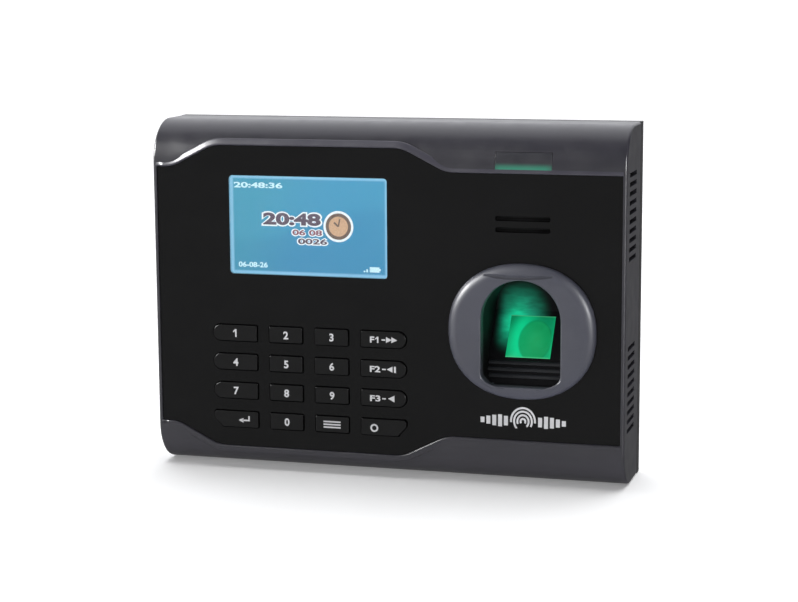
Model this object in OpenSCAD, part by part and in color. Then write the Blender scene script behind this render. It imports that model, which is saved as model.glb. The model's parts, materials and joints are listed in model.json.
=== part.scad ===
// Wall-mounted fingerprint terminal with a colour display and a keypad.
// Frame: the centre of the wall face is the origin, +X is right as seen from the front, +Y points
// into the wall and +Z is up. Depths are measured back from the front plane of the case.

/* [Case] */
// Width over the end walls
case_w = 192.5; // [192:0.5:194]
// Height over the top and bottom faces
case_h = 141; // [141:0.5:143]
// Depth from the front plane to the back face of the rear cover
case_d = 36.7; // [36.7:0.1:38]
// Wall thickness of the moulded shells
wall_t = 2.2; // [2:0.1:2.4]
// Radius of the bands that roll back from the front to the top and bottom faces
band_r = 16.7; // [16.5:0.1:16.7]
// Part of the depth that the rear cover shows at the sides
cover_rim = 4.7; // [4.2:0.1:5]
// Width of the shadow line between the front frame and the rear cover
reveal = 0.8; // [0.4:0.1:1]

/* [Front panel] */
// Half height of the panel at its two ends
panel_end_h = 52.15; // [51.5:0.05:52.5]
// Half height of the panel round the display and the keypad
panel_mid_h = 61.15; // [60.5:0.05:61.5]
// Thickness of the panel
panel_t = 2; // [1.8:0.1:2.1]
// How far the panel sits behind the rim of the frame
panel_sink = 0.5; // [0.3:0.1:0.6]
// Width of the frame's rim round the panel
rim_w = 1.6; // [1.4:0.05:1.6]
// Place across the width of the centre line of the display and the keypad
desk_x = -31.15; // [-31.5:0.05:-30.5]

/* [Display] */
// Width of the picture of a 3 inch 400 by 240 display
picture_w = 65.3; // [64:0.1:66]
// Height of the picture
picture_h = 39.2; // [38:0.1:40]
// Height of the picture's centre above the centre of the case
picture_z = 29.35; // [29:0.05:30]

/* [Keypad] */
// Height of a key
key_h = 6.4; // [6:0.1:6.6]
// Width of a key in the two inner columns
key_w = 13.9; // [13:0.1:14.2]
// Width of a key in the two outer columns
outer_key_w = 18.6; // [18:0.1:19]
// Distance between rows
key_pitch = 11.83; // [11.5:0.01:12]
// Gap between neighbouring keys of a row
key_gap = 5.3; // [5:0.1:5.6]
// Height of the top row's centre
key_top_z = -14.6; // [-15:0.1:-14]
// Travel of a key
key_travel = 0.8; // [0.6:0.1:0.8]

/* [Fingerprint reader] */
// Place across the width of the reader's centre line
reader_x = 56; // [55.5:0.1:56.5]
// Half width of the bezel
bezel_a = 29.2; // [28.8:0.1:29.4]
// Half height of the bezel
bezel_b = 26.6; // [26.2:0.1:26.8]
// Height of the bezel's centre
bezel_z = -9; // [-9.2:0.1:-8.8]
// How far the bezel stands in front of the case
bezel_rise = 3.6; // [3:0.1:4]
// Half width of the finger recess, which is also the radius of its arched top
arch_r = 15.7; // [15.5:0.1:15.9]
// Height of the top of the finger recess
arch_top = 11.4; // [11.2:0.1:11.6]
// Height of the bottom of the finger recess
arch_low = -30.4; // [-30.6:0.1:-30.2]
// Angle between the finger glass and the vertical
glass_tilt = 37; // [36:0.5:38]
// Width of the finger glass that shows
glass_w = 18; // [17:0.5:18]
// Length of the finger glass that shows, along its slope
glass_l = 18.7; // [18:0.1:19]

/* [Wall plate] */
// Thickness of the steel plate
plate_t = 1.2; // [1:0.1:1.2]
// Width of the plate
plate_w = 150; // [145:1:160]
// Height of the plate
plate_h = 110; // [105:1:115]
// Distance across between the wall screws
wall_screw_x = 120; // [110:1:125]
// Distance up and down between the wall screws
wall_screw_z = 80; // [75:1:85]
// Radius of a wall screw hole
wall_screw_r = 2.6; // [2.2:0.1:2.8]
// How far the terminal lifts to come off its hooks
lift = 6; // [5:0.5:6]

/* [Hidden] */
$fn = 64;
plate_gap = 0.1;
front_y = -(case_d + plate_gap + plate_t);
half_w = case_w / 2;
half_h = case_h / 2;
flat_h = half_h - band_r;
frame_d = case_d - cover_rim - reveal;
cover_front = case_d - cover_rim;
floor_front = case_d - wall_t;
panel_back = panel_sink + panel_t;
wall_back = panel_back + 2;
fit_gap = 0.12;
panel_end_x = half_w - 1.5;

// Wave between the low ends and the high middle of the panel: two arcs joined by a straight slope
wave_r = 15;
wave_angle = 27;
wave_in = 35.5;
wave_rise = panel_mid_h - panel_end_h;
wave_slope = (wave_rise - 2 * wave_r * (1 - cos(wave_angle))) / sin(wave_angle);
wave_out = wave_in + 2 * wave_r * sin(wave_angle) + wave_slope * cos(wave_angle);
wave_steps = 9;

// Columns of keys from left to right, and the whole field of keys
inner_x = (key_w + key_gap) / 2;
outer_x = inner_x + key_w / 2 + key_gap + outer_key_w / 2;
key_x = [desk_x - outer_x, desk_x - inner_x, desk_x + inner_x, desk_x + outer_x];
keypad_w = 2 * outer_x + outer_key_w;
keypad_h = 3 * key_pitch + key_h;
keypad_z = key_top_z - 1.5 * key_pitch;
key_front = -0.3;
key_stem_back = 6;
key_side_gap = 0.4;
flange = 0.9;
flange_back = panel_back + 0.9;
mat_front = key_stem_back + key_travel + 0.1;
board_front = mat_front + 1.9;
board_t = 1.6;

// Fingerprint reader: centre of the glass, and the optical block, which is turned with the prism
glass_depth = 15.75;
glass_z = -13.7;
optics_turn = 45 - glass_tilt;
arch_z = arch_top - arch_r;
arch_corner = 3.6;
cup_t = 1.6;
skirt_inset = 3.2;
cup_front = 0.8;
cup_back = 24.4;
prism_half = 9.2;

// Cooling slots in both end walls: two groups of ten
vent_mid = 1.95;
vent_group = 33.65;
vent_pitch = 3.6;
vent_h = 1.8;
vent_front = 6.5;
vent_back = 22;

// Status light in the top band, and the sound slots of the panel with the speaker behind them
light_x = [45, 67.4];
light_top = 60.4;
sound_z = 32.5;
sound_slots = [34.8, 30.4];

// Main board, its four posts, and the screws that hold the case together in the corners
main_front = 15;
main_back = main_front + board_t;
posts = [[-79, 55], [25, 56], [-78, -60], [24, 6]];
corner_x = 87;
corner_z = 60;
insert_r = 2.3;

// Connector bay in the back of the rear cover
bay_x = 38;
bay_low = -44;
bay_high = -16;
bay_front = 20;
bay_t = 1.6;

// Wall plate and its hooks
plate_front = case_d + plate_gap;
hook_x = 45;
hook_z = 34.2;
hook_w = 10;
hook_leg = 5.5;
hook_front = floor_front - 1.5;
tab_w = 22;
tab_z = -half_h + 1.6;
lock_depth = 33.6;
lock_head_r = 2.1;
tab_front = 31.5;

// Service door over the memory socket, in the left end wall between the two groups of slots
door_z = vent_mid;
door_w = 20;
door_front = 14.2;
door_axis = 25.4;
door_axis_in = 1.15;
door_t = 1;
knuckle_r = 1.05;
door_pin_r = 0.5;

// ---- Helpers ----

// Outline in X and Z, made solid between two depths
module slab(a, b) {
    translate([0, front_y + b, 0]) rotate([90, 0, 0]) linear_extrude(b - a) children();
}

// Outline in depth and Z, made solid between two places across the width
module bar(a, b) {
    translate([a, front_y, 0]) rotate([90, 0, 90]) linear_extrude(b - a) children();
}

// Straight block between two X, two depths and two Z
module block(x, d, z) {
    translate([x[0], front_y + d[0], z[0]]) cube([x[1] - x[0], d[1] - d[0], z[1] - z[0]]);
}

// Round peg or hole along the depth
module peg(x, z, a, b, r) {
    slab(a, b) translate([x, z]) circle(r);
}

// Rectangle with rounded corners, centred
module rounded(w, h, r) {
    union() {
        square([w - 2 * r, h], center = true);
        square([w, h - 2 * r], center = true);
        for (sx = [-1, 1], sz = [-1, 1]) translate([sx * (w / 2 - r), sz * (h / 2 - r)]) circle(r);
    }
}

// Places a shape at the service door: its X runs down the wall and its Z runs inwards from the
// wall's face
module at_door() {
    translate([-half_w, 0, door_z]) rotate([0, 90, 0]) children();
}

// Round rod or bore on the axis of the service door, longer than the door by reach at each end
module door_rod(reach, r) {
    at_door() translate([-door_w / 2 - reach, front_y + door_axis, door_axis_in]) rotate([0, 90, 0])
        cylinder(h = door_w + 2 * reach, r = r);
}

// Everything inside is turned with the optical block, about the centre of the glass
module in_optics() {
    translate([reader_x, front_y + glass_depth, glass_z]) rotate([optics_turn, 0, 0]) children();
}

// Points of an arc, angles in degrees
function arc(cx, cy, r, a0, a1, steps) =
    [for (i = [0:steps]) let (a = a0 + (a1 - a0) * i / steps) [cx + r * cos(a), cy + r * sin(a)]];

// Points of a list mirrored top to bottom, in reverse order
function flipped(list) = [for (i = [len(list) - 1:-1:0]) [list[i][0], -list[i][1]]];

// Upper half of the case's section, inset by t and running back to depth d
function band(t, d) = concat(
    [[t, flat_h]],
    [for (p = arc(band_r, flat_h, band_r - t, 180, 90, 14)) if (p[0] > t + 0.01) p],
    [[d, half_h - t]]
);

// Full section of the case
module section(t, d) {
    polygon(concat(band(t, d), flipped(band(t, d))));
}

// Upper wave from the middle outwards, moved out by o; side is 1 for right and -1 for left
function wave(o, side) = concat(
    [for (i = [0:wave_steps]) let (a = wave_angle * i / wave_steps)
        [desk_x + side * (wave_in + (wave_r + o) * sin(a)),
         panel_mid_h - wave_r + (wave_r + o) * cos(a)]],
    [for (i = [wave_steps:-1:0]) let (a = wave_angle * i / wave_steps)
        [desk_x + side * (wave_out - (wave_r - o) * sin(a)),
         panel_end_h + wave_r - (wave_r - o) * cos(a)]]
);

// Upper edge of the panel from left to right
function panel_top(o, end_x) = concat(
    [[-end_x, panel_end_h + o]],
    [for (i = [2 * wave_steps + 1:-1:0]) wave(o, -1)[i]],
    wave(o, 1),
    [[end_x, panel_end_h + o]]
);

// Outline of the panel, moved out by o
module panel_outline(o, end_x) {
    polygon(concat(panel_top(o, end_x), flipped(panel_top(o, end_x))));
}

// Oval of the bezel, smaller by inset
module oval(inset) {
    a = bezel_a - inset;
    b = bezel_b - inset;
    power = 2 / 2.2;
    translate([reader_x, bezel_z]) polygon([for (i = [0:71]) let (c = cos(i * 5), s = sin(i * 5))
        [a * sign(c) * pow(abs(c), power), b * sign(s) * pow(abs(s), power)]]);
}

// Outline of the finger recess, moved out by o
module arch(o) {
    w = arch_r + o;
    low = arch_low - o;
    cut = arch_corner + 0.4 * o;
    translate([reader_x, 0]) union() {
        translate([0, arch_z]) circle(w);
        polygon([
            [-w, arch_z], [-w, low + cut], [cut - w, low],
            [w - cut, low], [w, low + cut], [w, arch_z]
        ]);
    }
}

// Hole behind the bezel, for its skirt and for the finger cup
module reader_hole(gap) {
    union() {
        oval(skirt_inset - gap);
        arch(cup_t + gap);
    }
}

// Region in front of the glass plane, moved back by t along the depth, as far as depth d
module before_glass(t, d) {
    slope = tan(glass_tilt);
    bar(reader_x - 25, reader_x + 25) polygon([
        [-10, -45],
        [glass_depth + t + (-45 - glass_z) * slope, -45],
        [d, glass_z + (d - glass_depth - t) / slope],
        [d, 30],
        [-10, 30]
    ]);
}

// ---- Case ----

module vent_slots() {
    for (end = [-1, 1], group = [-1, 1], row = [0:9])
        translate([end * half_w, 0, vent_mid + group * vent_group + (row - 4.5) * vent_pitch])
            block([-wall_t - 0.5, wall_t + 0.5], [vent_front, vent_back], [-vent_h / 2, vent_h / 2]);
}

// Window of the status light, smaller by gap
module lens_zone(gap) {
    block([light_x[0] + gap, light_x[1] - gap], [-1, 12], [panel_end_h + gap, light_top - gap]);
}

module usb_door_recess() {
    gap = 0.3;
    x = [-door_w / 2 - gap, door_w / 2 + gap];
    at_door() block(x, [door_front - gap, door_axis], [-1, door_t + 0.15]);
    door_rod(gap, knuckle_r + gap);
    at_door() block(x, [door_axis - knuckle_r - gap, door_axis + knuckle_r + gap], [-1, door_axis_in]);
}

// Shell of the frame, and the rim that stands up round the panel
module frame_shell() {
    difference() {
        union() {
            bar(-half_w, half_w) section(0, frame_d);
            intersection() {
                slab(0, 12) panel_outline(rim_w, half_w);
                bar(-half_w, half_w) polygon([
                    [0, 62.2], [0.6, 62.9], [7, 67.8], [12, 69.2],
                    [12, -69.2], [7, -67.8], [0.6, -62.9], [0, -62.2]
                ]);
            }
        }
        intersection() {
            bar(wall_t - half_w, half_w - wall_t) section(wall_t, frame_d + 1);
            block([-half_w, half_w], [wall_back, frame_d + 1], [-half_h, half_h]);
        }
    }
}

module front_frame() {
    color([0.28, 0.28, 0.31]) difference() {
        union() {
            frame_shell();
            for (sx = [-1, 1], sz = [-1, 1]) peg(sx * corner_x, sz * corner_z, wall_back, 27.8, 4);
            for (p = posts) peg(p[0], p[1], wall_back, main_front, 3);
            at_door() block([-11.5, 11.5], [13, 28], [1, 3.6]);
        }
        slab(-2, panel_back) panel_outline(0, panel_end_x);
        slab(-2, wall_back + 1) translate([desk_x, picture_z]) rounded(72, 47, 1);
        slab(-2, wall_back + 1) translate([desk_x, keypad_z]) rounded(keypad_w + 3, keypad_h + 3.4, 2);
        slab(-2, wall_back + 1) reader_hole(0.2);
        slab(-2, wall_back + 1) translate([reader_x, sound_z]) rounded(24, 10, 2);
        for (sx = [-1, 1], sz = [-1, 1]) peg(sx * corner_x, sz * corner_z, 19.8, 28, insert_r + 0.05);
        for (p = posts) peg(p[0], p[1], 8, main_front + 1, 1);
        vent_slots();
        lens_zone(0);
        usb_door_recess();
        at_door() block([-7, 7], [16.2, 22.8], [-1, 5]);
        door_rod(1, door_pin_r + 0.02);
    }
}

module rear_cover() {
    in_x = half_w - wall_t;
    in_z = half_h - wall_t;
    lip_x = in_x - 0.15;
    lip_z = in_z - 0.15;
    color([0.07, 0.07, 0.075]) difference() {
        union() {
            difference() {
                block([-half_w, half_w], [cover_front, case_d], [-half_h, half_h]);
                block([-in_x, in_x], [cover_front - 1, floor_front], [-in_z, in_z]);
            }
            difference() {
                block([-lip_x, lip_x], [28.6, floor_front + 0.5], [-lip_z, lip_z]);
                block([1.5 - lip_x, lip_x - 1.5], [28, floor_front], [1.5 - lip_z, lip_z - 1.5]);
            }
            for (sx = [-1, 1], sz = [-1, 1]) peg(sx * corner_x, sz * corner_z, 28, floor_front + 0.5, 4.5);
            block([-bay_x - bay_t, bay_x + bay_t], [bay_front - bay_t, floor_front + 0.5],
                [bay_low - bay_t, bay_high + bay_t]);
            peg(-66, 0, 30, floor_front + 0.5, 4);
            block([-9, 9], [29, floor_front + 0.5], [-half_h + 3.2, -half_h + 12]);
        }
        for (sx = [-1, 1], sz = [-1, 1]) {
            peg(sx * corner_x, sz * corner_z, 27, case_d + 1, 1.7);
            peg(sx * corner_x, sz * corner_z, 33.5, case_d + 1, 3.3);
        }
        block([-bay_x, bay_x], [bay_front, case_d + 1], [bay_low, bay_high]);
        block([15.7, 32.3], [bay_front - 3, 30.4], [bay_high - 1, bay_high + 3]);
        block([0.7, 10.3], [bay_front - 3, 28], [bay_high - 1, bay_high + 3]);
        block([-35.3, -3.7], [bay_front - 3, 26.1], [bay_high - 1, bay_high + 3]);
        for (sx = [-1, 1]) block([sx * hook_x - hook_w / 2 - 0.6, sx * hook_x + hook_w / 2 + 0.6],
            [28, case_d + 1], [hook_z - plate_t - lift - 0.6, hook_z + 0.2]);
        peg(-66, 0, 28, case_d + 1, 2.3);
        block([-tab_w / 2 - 0.6, tab_w / 2 + 0.6], [28, case_d + 1], [-half_h - 1, -half_h + 3.2]);
        translate([0, front_y + lock_depth, -half_h]) cylinder(h = 13, r = 1.7);
    }
}

// Screw whose shank runs towards the front from a round head
module screw(x, z, head_back, head_r, head_t, shank_r, tip) {
    peg(x, z, head_back - head_t, head_back, head_r);
    peg(x, z, tip, head_back - head_t + 0.2, shank_r);
}

// Cross recess in the head of such a screw
module drive_recess(x, z, back, size) {
    slab(back - 0.9, back + 1) translate([x, z]) union() {
        square([size, size * 0.28], center = true);
        square([size * 0.28, size], center = true);
    }
}

module case_screws() {
    color([0.65, 0.65, 0.66]) for (sx = [-1, 1], sz = [-1, 1]) difference() {
        screw(sx * corner_x, sz * corner_z, 35.6, 2.9, 2.1, 1.45, 22.4);
        drive_recess(sx * corner_x, sz * corner_z, 35.6, 3.2);
    }
}

module case_inserts() {
    color([0.75, 0.6, 0.3]) for (sx = [-1, 1], sz = [-1, 1]) difference() {
        peg(sx * corner_x, sz * corner_z, 21.8, 27.8, insert_r);
        peg(sx * corner_x, sz * corner_z, 21, 28, 1.5);
    }
}

module board_screws() {
    color([0.65, 0.65, 0.66]) for (p = posts) difference() {
        screw(p[0], p[1], main_back + 1.6, 2.2, 1.6, 0.95, 9.5);
        drive_recess(p[0], p[1], main_back + 1.6, 2.4);
    }
}

// ---- Wall plate ----

module wall_plate() {
    back = case_d + plate_gap + plate_t;
    color([0.62, 0.63, 0.64]) difference() {
        union() {
            slab(plate_front, back) rounded(plate_w, plate_h, 4);
            block([-tab_w / 2, tab_w / 2], [plate_front, back], [tab_z, 0]);
            block([-tab_w / 2, tab_w / 2], [tab_front, back], [tab_z, tab_z + plate_t]);
            for (sx = [-1, 1]) {
                x = [sx * hook_x - hook_w / 2, sx * hook_x + hook_w / 2];
                block(x, [hook_front, back], [hook_z - plate_t, hook_z]);
                block(x, [hook_front, hook_front + plate_t], [hook_z - plate_t, hook_z + hook_leg]);
            }
        }
        for (sx = [-1, 1], sz = [-1, 1])
            peg(sx * wall_screw_x / 2, sz * wall_screw_z / 2, plate_front - 1, back + 1, wall_screw_r);
        slab(plate_front - 1, back + 1) translate([0, (bay_low + bay_high) / 2])
            rounded(2 * bay_x - 2, bay_high - bay_low - 2, 3);
        for (sx = [-1, 1]) block([sx * hook_x - hook_w / 2 - 0.5, sx * hook_x + hook_w / 2 + 0.5],
            [plate_front - 1, back + 1], [hook_z - plate_t - 7, hook_z - plate_t]);
        translate([0, front_y + lock_depth, tab_z - 1]) cylinder(h = 4, r = 1.5);
    }
}

module lock_screw() {
    color([0.2, 0.2, 0.21]) translate([0, front_y + lock_depth, 0]) difference() {
        union() {
            translate([0, 0, tab_z - 1.4]) cylinder(h = 1.35, r = lock_head_r);
            translate([0, 0, tab_z - 0.2]) cylinder(h = 9.6, r = 1.45);
        }
        translate([0, 0, tab_z - 2]) cylinder(h = 1.5, r = 1.1, $fn = 6);
    }
}

// ---- Front panel and display ----

module key_outline(col, row, grow) {
    w = (col == 0 || col == 3 ? outer_key_w : key_w) + 2 * grow;
    h = key_h + 2 * grow;
    side = col == 0 ? -1 : 1;
    outer = col == 0 || col == 3;
    r = 0.6 + grow;
    translate([key_x[col], key_top_z - row * key_pitch]) union() {
        if (!outer) rounded(w, h, r);
        if (outer) {
            translate([-side * h / 4, 0]) rounded(w - h / 2, h, r);
            if (row < 3) translate([side * (w - h) / 2, 0]) circle(h / 2);
            if (row == 3) polygon([
                [0, h / 2], [side * (w / 2 - 0.8), h / 2], [side * w / 2, h / 2 - 0.8],
                [side * w / 2, 0.1 * h], [side * (w / 2 - 3.6), -h / 2], [0, -h / 2]
            ]);
        }
    }
}

module front_panel() {
    color([0.05, 0.05, 0.05]) difference() {
        slab(panel_sink, panel_back) panel_outline(-fit_gap, panel_end_x - fit_gap);
        slab(-1, 4) translate([desk_x, picture_z]) rounded(picture_w + 0.5, picture_h + 0.5, 1.6);
        for (col = [0:3], row = [0:3]) slab(-1, 4) key_outline(col, row, key_side_gap);
        slab(-1, 4) reader_hole(0.12);
        for (z = sound_slots) slab(-1, 4) translate([reader_x, z]) rounded(21.6, 1.9, 0.6);
    }
}

module screen_window() {
    color([0.3, 0.6, 0.8, 0.5]) slab(panel_sink, 2.2) translate([desk_x, picture_z])
        rounded(picture_w + 0.3, picture_h + 0.3, 1.5);
}

module lcd_panel() {
    color([0.3, 0.6, 0.8]) slab(2.6, 4) translate([desk_x, picture_z]) square([70, 45.5], center = true);
}

module lcd_backlight() {
    color([0.8, 0.8, 0.8]) translate([desk_x, 0, picture_z]) {
        slab(4, 7.2) square([71.4, 46.4], center = true);
        slab(wall_back + 0.1, 6.2) square([78, 52], center = true);
    }
}

module lcd_flex() {
    x = [desk_x - 14, desk_x + 14];
    low = picture_z - 27.6;
    thick = 0.3;
    color([0.75, 0.45, 0.1]) {
        block(x, [6.4, 6.4 + thick], [low, low + 1.6]);
        block(x, [6.4 + thick, main_front - thick], [low, low + thick]);
        block(x, [main_front - thick, main_front], [low, low + 5.6]);
    }
}

// ---- Keypad ----

module keycap(col, row) {
    color([0.06, 0.06, 0.062]) union() {
        slab(key_front, panel_back + 0.1) key_outline(col, row, 0);
        slab(panel_back + 0.1, flange_back) key_outline(col, row, flange);
        slab(flange_back, key_stem_back) translate([key_x[col], key_top_z - row * key_pitch])
            rounded(6, 4, 1);
    }
}

module key_1() { keycap(0, 0); }
module key_2() { keycap(1, 0); }
module key_3() { keycap(2, 0); }
module key_f1() { keycap(3, 0); }
module key_4() { keycap(0, 1); }
module key_5() { keycap(1, 1); }
module key_6() { keycap(2, 1); }
module key_f2() { keycap(3, 1); }
module key_7() { keycap(0, 2); }
module key_8() { keycap(1, 2); }
module key_9() { keycap(2, 2); }
module key_f3() { keycap(3, 2); }
module key_enter() { keycap(0, 3); }
module key_0() { keycap(1, 3); }
module key_menu() { keycap(2, 3); }
module key_ok() { keycap(3, 3); }

module keypad_mat() {
    color([0.25, 0.25, 0.27]) union() {
        slab(board_front - 0.9, board_front) translate([desk_x, keypad_z])
            rounded(keypad_w, keypad_h + 2, 2);
        for (col = [0:3], row = [0:3])
            peg(key_x[col], key_top_z - row * key_pitch, mat_front, board_front - 0.8, 2.4);
    }
}

module keypad_board() {
    color([0.1, 0.35, 0.2]) slab(board_front, board_front + board_t)
        translate([desk_x, keypad_z]) rounded(keypad_w + 2, keypad_h + 6, 2);
}

module keypad_cable() {
    back = board_front + board_t;
    color([0.8, 0.8, 0.82]) block([-74, -62], [back, main_front], [-40, -39]);
}

// ---- Fingerprint reader ----

module sensor_bezel() {
    color([0.4, 0.4, 0.45]) difference() {
        union() {
            hull() {
                slab(-0.6, panel_sink) oval(0);
                slab(-2.2, -0.6) oval(0.5);
                slab(-3.2, -2.2) oval(1.4);
                slab(-bezel_rise, -3.2) oval(2.8);
            }
            slab(panel_sink - 0.1, wall_back) oval(skirt_inset);
        }
        slab(-5, cup_front) arch(0);
        slab(cup_front, wall_back + 1) arch(cup_t + 0.1);
    }
}

module sensor_cup() {
    color([0.03, 0.03, 0.03]) difference() {
        intersection() {
            slab(cup_front, cup_back) arch(cup_t);
            before_glass(2.5, cup_back);
        }
        intersection() {
            slab(-1, cup_back - cup_t) arch(0);
            before_glass(0, cup_back - cup_t);
        }
        in_optics() rotate([45, 0, 0]) cube([glass_w + 0.4, glass_l + 0.4, 9], center = true);
    }
}

module sensor_prism() {
    edge = glass_l / 2 * sin(45);
    step = 1.6;
    color([0.2, 0.8, 0.5, 0.6]) in_optics() translate([-glass_w / 2, 0, 0]) rotate([90, 0, 90])
        linear_extrude(glass_w) polygon([
            [-edge, -edge], [edge, edge], [edge + step, edge - step], [prism_half, edge - step],
            [prism_half, -prism_half], [step - edge, -prism_half], [step - edge, -edge - step]
        ]);
}

module sensor_housing() {
    color([0.05, 0.05, 0.05]) in_optics() difference() {
        translate([-12, -4.2, -28]) cube([24, 16, 18.4]);
        translate([-10, -2.4, -29]) cube([20, 11.4, 11]);
        translate([0, 3, -20]) cylinder(h = 20, r = 5.9);
    }
}

module sensor_lens() {
    color([0.12, 0.12, 0.13]) in_optics() translate([0, 3, 0]) {
        difference() {
            translate([0, 0, -17.9]) cylinder(h = 6, r = 5.8);
            translate([0, 0, -13.4]) cylinder(h = 3, r = 3.4);
        }
        translate([0, 0, -20.4]) cylinder(h = 2.5, r = 4.2);
    }
}

module sensor_camera_board() {
    color([0.1, 0.35, 0.2]) in_optics() {
        translate([-13, -5.2, -29.6]) cube([26, 18, 1.6]);
        translate([-4.5, -1.5, -28]) cube([9, 9, 1.4]);
    }
}

module sensor_led_board() {
    color([0.1, 0.35, 0.2]) in_optics() {
        translate([-10, 11.2, -9]) cube([20, 1.6, 15]);
        for (x = [-6, 0, 6], z = [-6, 0]) translate([x - 1, 10.2, z - 1]) cube([2, 1, 2]);
    }
}

module sensor_cable() {
    color([0.8, 0.8, 0.82]) {
        block([40.2, 43], [27, 27.5], [-40.6, 10]);
        block([27, 40.2], [27, 27.5], [4, 10]);
        block([27, 27.5], [main_back, 27], [4, 10]);
    }
}

// ---- Indicator and sound ----

module indicator_lens() {
    color([0.25, 0.5, 0.42]) intersection() {
        difference() {
            bar(-half_w, half_w) section(0, frame_d);
            bar(-half_w, half_w) section(2, frame_d + 1);
        }
        lens_zone(0.12);
    }
}

module indicator_board() {
    color([0.1, 0.35, 0.2]) {
        block([light_x[0] - 1, light_x[1] + 1.1], [9.2, 9.2 + board_t], [50, 58]);
        for (x = [reader_x - 7, reader_x, reader_x + 7]) block([x - 1, x + 1], [8.2, 9.2], [53, 55]);
    }
}

module speaker() {
    color([0.15, 0.15, 0.15]) difference() {
        union() {
            peg(reader_x, sound_z, 5, 8.5, 14);
            peg(reader_x, sound_z, 8.5, 11.5, 8);
        }
        peg(reader_x, sound_z, 4, 6.5, 12);
    }
}

module speaker_mesh() {
    color([0.1, 0.1, 0.1]) slab(wall_back, 5) translate([reader_x, sound_z]) rounded(26, 13, 2);
}

// ---- Electronics ----

module main_board() {
    color([0.08, 0.3, 0.18]) difference() {
        union() {
            block([-82.5, 31], [main_front, main_back], [-13.6, 60.5]);
            block([-82.5, -44], [main_front, main_back], [-65, -13.6]);
            block([-91, -82], [main_front, main_back], [door_z - 8, door_z + 8]);
        }
        for (p = posts) peg(p[0], p[1], main_front - 1, main_back + 1, 1.2);
    }
}

module processor_shield() {
    color([0.7, 0.7, 0.72]) block([-4, 20], [main_front - 3, main_front], [20, 44]);
}

module main_capacitors() {
    color([0.1, 0.1, 0.3]) for (z = [30, 42]) peg(16, z, main_back, main_back + 11, 4);
}

module clock_cell() {
    color([0.75, 0.75, 0.72]) {
        peg(-62, 40, main_back, main_back + 1.4, 11);
        peg(-62, 40, main_back + 1.4, main_back + 4.6, 10);
    }
}

module door_relay() {
    color([0.1, 0.3, 0.6]) block([-28, -9], [main_back, main_back + 12], [8, 23.5]);
}

module network_jack() {
    color([0.6, 0.6, 0.62]) difference() {
        block([16, 32], [main_back, main_back + 13.4], [-15.8, 0.2]);
        block([18.1, 29.9], [main_back + 3, main_back + 10.6], [-17, -3]);
    }
}

module terminal_block() {
    color([0.15, 0.5, 0.25]) difference() {
        block([-35, -4], [main_back, main_back + 9.2], [-15.8, -6]);
        for (i = [0:7]) translate([-33.1 + i * 3.85, 0, 0]) {
            block([-1.1, 1.1], [main_back + 1.6, main_back + 4.6], [-17, -10]);
            peg(0, -11, main_back + 6.5, main_back + 10, 1.2);
        }
    }
}

module power_jack() {
    color([0.1, 0.1, 0.1]) difference() {
        block([1, 10], [main_back, main_back + 11], [-15.8, -1.8]);
        translate([5.5, front_y + main_back + 5.6, -16.8]) difference() {
            cylinder(h = 10.5, r = 3.1);
            cylinder(h = 11, r = 1);
        }
    }
}

module usb_socket() {
    mouth = door_t + 0.6;
    color([0.7, 0.7, 0.72]) at_door() translate([0, main_back, 0]) difference() {
        block([-6.6, 6.6], [0, 5.8], [mouth, mouth + 13.4]);
        difference() {
            block([-6.1, 6.1], [0.5, 5.3], [mouth - 1, mouth + 11.4]);
            block([-5.6, 5.6], [0.8, 2.2], [mouth - 1, mouth + 12.4]);
        }
    }
}

module usb_door() {
    color([0.28, 0.28, 0.31]) difference() {
        union() {
            at_door() block([-door_w / 2, door_w / 2], [door_front, door_axis], [0, door_t]);
            door_rod(0, knuckle_r);
        }
        door_rod(1, door_pin_r + 0.05);
        at_door() block([-4, 4], [door_front - 1, door_front + 1], [-1, 0.4]);
    }
}

module usb_door_pin() {
    color([0.65, 0.65, 0.66]) door_rod(1, door_pin_r);
}

module tamper_switch() {
    color([0.1, 0.1, 0.1]) difference() {
        block([-70, -62], [main_back, 25], [-4, 4]);
        peg(-66, 0, 20, 26, 2.1);
    }
}

module tamper_button() {
    color([0.8, 0.2, 0.15]) peg(-66, 0, 21.2, case_d - 0.2, 2);
}

wall_plate();
lock_screw();
rear_cover();
front_frame();
front_panel();
screen_window();
lcd_panel();
lcd_backlight();
lcd_flex();
keypad_mat();
keypad_board();
keypad_cable();
key_1();
key_2();
key_3();
key_f1();
key_4();
key_5();
key_6();
key_f2();
key_7();
key_8();
key_9();
key_f3();
key_enter();
key_0();
key_menu();
key_ok();
sensor_bezel();
sensor_cup();
sensor_prism();
sensor_housing();
sensor_lens();
sensor_camera_board();
sensor_led_board();
sensor_cable();
indicator_lens();
indicator_board();
speaker();
speaker_mesh();
main_board();
processor_shield();
main_capacitors();
clock_cell();
door_relay();
network_jack();
terminal_block();
power_jack();
usb_socket();
usb_door();
usb_door_pin();
tamper_switch();
tamper_button();
case_screws();
case_inserts();
board_screws();
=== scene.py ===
"""Looks of the wall-mounted fingerprint terminal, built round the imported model.

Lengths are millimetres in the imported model's frame: X to the right, Z up, and depths counted back from
the front plane of the case. mesh_piece() and lettering() turn them into metres. The camera, the lights,
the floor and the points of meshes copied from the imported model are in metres.
"""
import json
import math

import bmesh
import bpy
from mathutils import Matrix, Vector

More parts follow.
